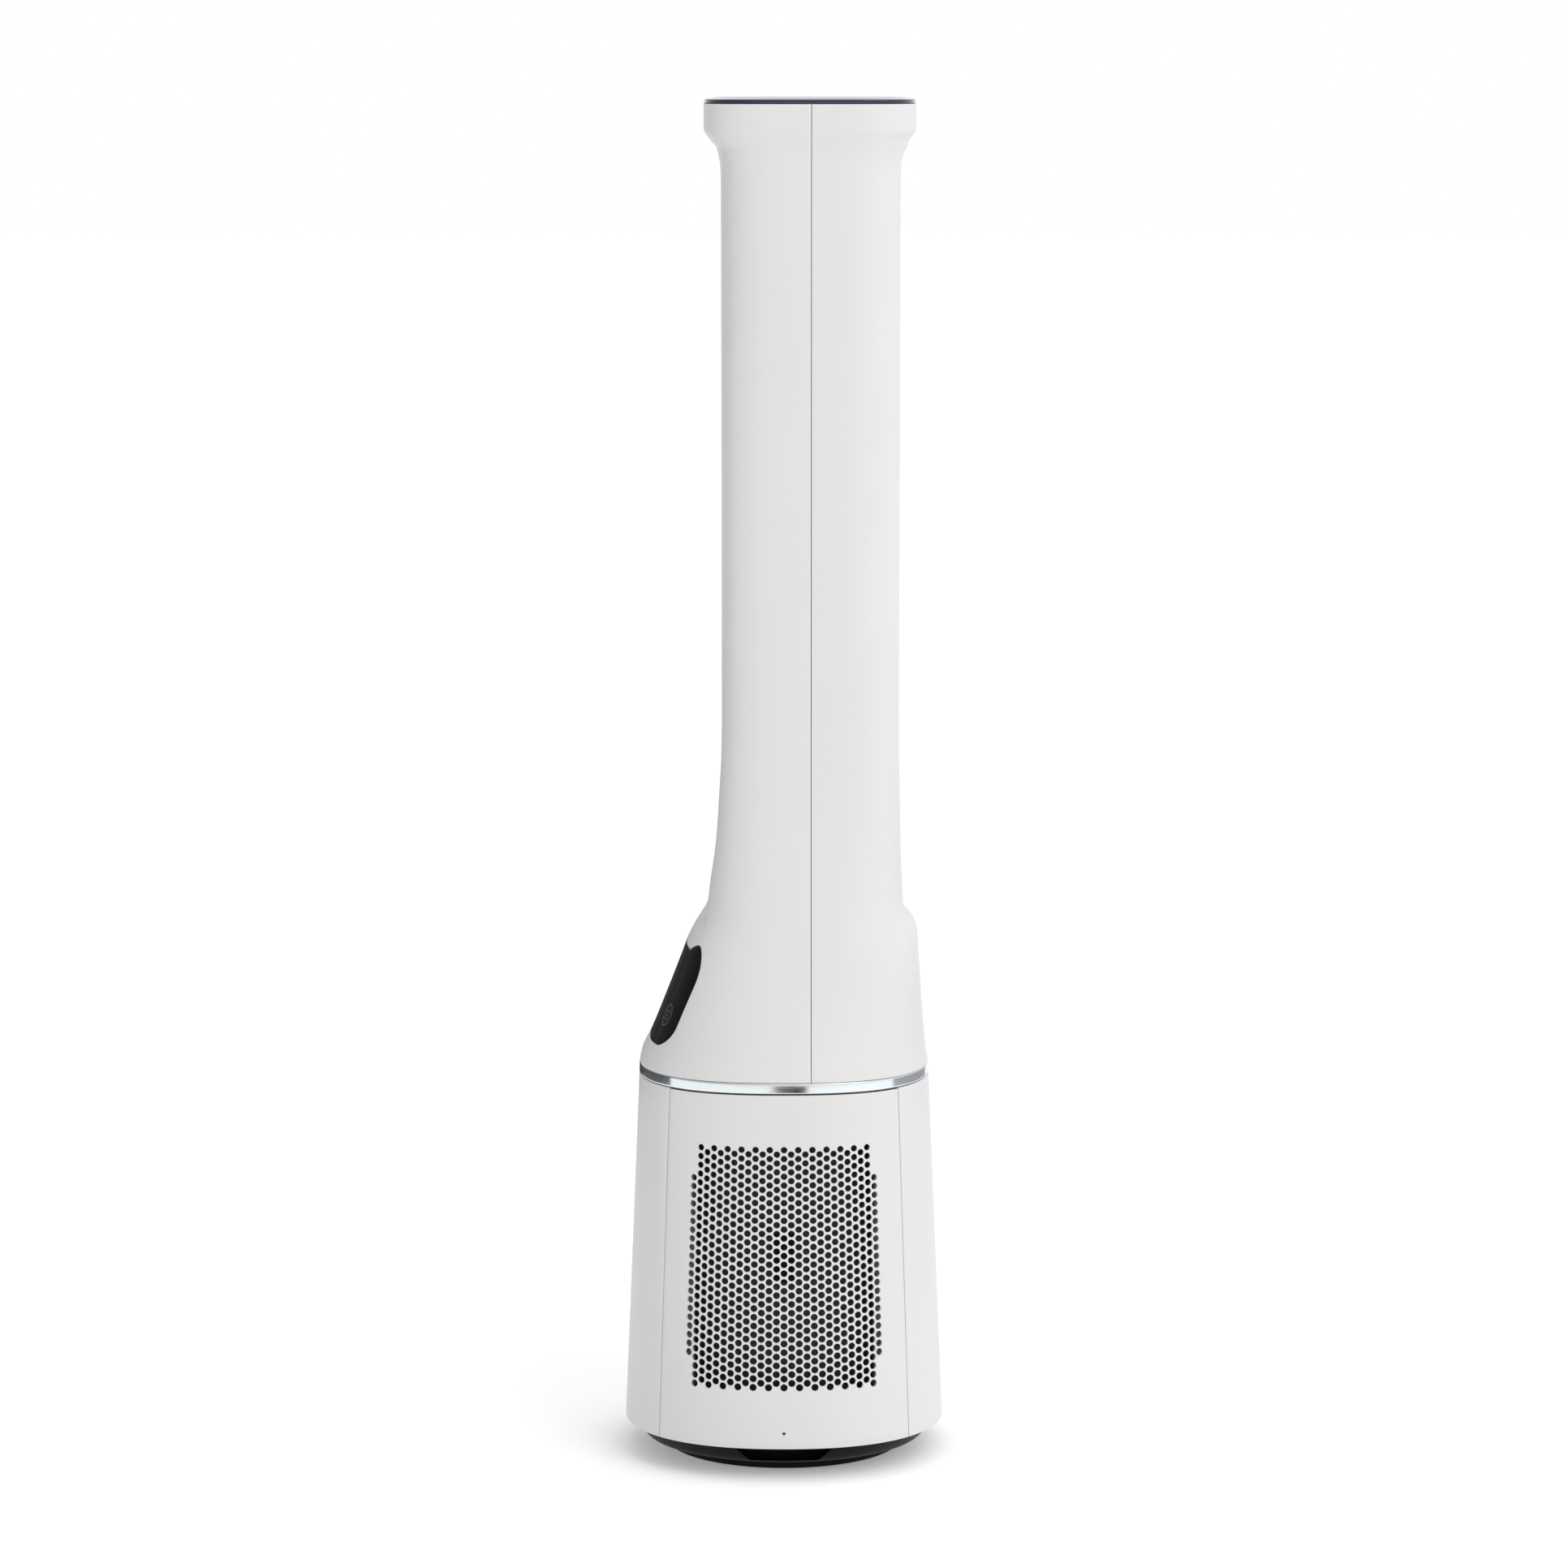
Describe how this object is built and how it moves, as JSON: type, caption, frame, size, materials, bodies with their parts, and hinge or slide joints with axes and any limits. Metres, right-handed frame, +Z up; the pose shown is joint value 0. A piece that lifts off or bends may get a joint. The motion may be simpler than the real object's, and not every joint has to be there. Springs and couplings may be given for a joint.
{
  "type": "tower air purifier",
  "caption": "Slim tower air purifier and fan: tapered filter base with perforated side covers, bright ring, and two hollow wings with an open gap.",
  "frame": {"origin": "on the floor, under the middle of the square base", "axes": "+Z up, the display faces -Y, the two perforated covers face +X and -X"},
  "size_m": [0.265, 0.265, 1.12],
  "materials": {
    "white_shell": "satin moulded",
    "black_plastic": "satin moulded",
    "bright_ring": "brushed and plated",
    "smoked_lens": "glossy",
    "navy_lid": "glossy",
    "filter_paper": "pleated paper",
    "dark_mesh": "woven mesh",
    "grey_plastic": "moulded",
    "steel": "zinc plated",
    "nylon": "moulded",
    "rubber": "matte",
    "circuit_board": "solder mask"
  },
  "bodies": {
    "foot": {"foot_disc": "black_plastic", "rubber_foot_1": "rubber", "rubber_foot_2": "rubber", "rubber_foot_3": "rubber", "rubber_foot_4": "rubber", "ring_gear": "nylon", "bearing_ring": "nylon"},
    "tower": {"plinth": "black_plastic", "swivel_hub": "grey_plastic", "hub_retaining_ring": "steel", "swivel_motor": "steel", "main_board": "circuit_board", "power_inlet": "black_plastic", "filter_tray": "grey_plastic", "corner_post_1": "grey_plastic", "corner_post_2": "grey_plastic", "corner_post_3": "grey_plastic", "corner_post_4": "grey_plastic", "base_front_panel": "white_shell", "base_rear_panel": "white_shell", "filter_right": "filter_paper", "filter_left": "filter_paper", "prefilter_right": "dark_mesh", "prefilter_left": "dark_mesh", "filter_tab_right": "black_plastic", "filter_tab_left": "black_plastic", "fan_deck": "grey_plastic", "deck_screw_1": "steel", "deck_screw_2": "steel", "deck_screw_3": "steel", "deck_screw_4": "steel", "trim_ring": "bright_ring", "flow_guide": "grey_plastic", "fan_motor": "steel", "motor_bracket": "steel", "front_shell": "white_shell", "rear_shell": "white_shell", "gap_panel_right": "white_shell", "gap_panel_left": "white_shell", "gap_saddle": "white_shell", "ceiling_panel": "white_shell", "top_lid": "navy_lid", "display_lens": "smoked_lens", "display_board": "circuit_board", "vane_motor_right": "steel", "vane_motor_left": "steel", "cover_catch_right": "black_plastic", "cover_catch_left": "black_plastic"},
    "cover_right": {"side_cover_right": "white_shell"},
    "cover_left": {"side_cover_left": "white_shell"},
    "fan": {"impeller": "grey_plastic", "motor_shaft": "steel", "impeller_nut": "steel"},
    "vane_right": {"outlet_vane_right": "black_plastic"},
    "vane_left": {"outlet_vane_left": "black_plastic"},
    "pinion": {"pinion_gear": "nylon"}
  },
  "joints": [
    {"name": "tower_swivel", "type": "hinge", "parent": "foot", "child": "tower", "pos_m": [0, 0, 0.012], "axis": [0, 0, 1], "range_deg": [-45, 45]},
    {"name": "pinion_spin", "type": "hinge", "parent": "tower", "child": "pinion", "pos_m": [0, 0.054, 0.011], "axis": [0, 0, 1], "range_deg": [-225, 225]},
    {"name": "fan_spin", "type": "hinge", "parent": "tower", "child": "fan", "pos_m": [0, 0, 0.345], "axis": [0, 0, 1], "continuous": true},
    {"name": "cover_right_tilt", "type": "hinge", "parent": "tower", "child": "cover_right", "pos_m": [0.1202, 0, 0.3176], "axis": [0, -1, 0], "range_deg": [0, 20]},
    {"name": "cover_left_tilt", "type": "hinge", "parent": "tower", "child": "cover_left", "pos_m": [-0.1202, 0, 0.3176], "axis": [0, 1, 0], "range_deg": [0, 20]},
    {"name": "vane_right_turn", "type": "hinge", "parent": "tower", "child": "vane_right", "pos_m": [0.0365, 0.045, 0.78], "axis": [0, 0, 1], "range_deg": [-25, 25]},
    {"name": "vane_left_turn", "type": "hinge", "parent": "tower", "child": "vane_left", "pos_m": [-0.0365, 0.045, 0.78], "axis": [0, 0, 1], "range_deg": [-25, 25]}
  ],
  "couplings": [
    {"joint": "pinion_spin", "follows": "tower_swivel", "ratio": 5},
    {"joint": "vane_left_turn", "follows": "vane_right_turn", "ratio": -1}
  ]
}
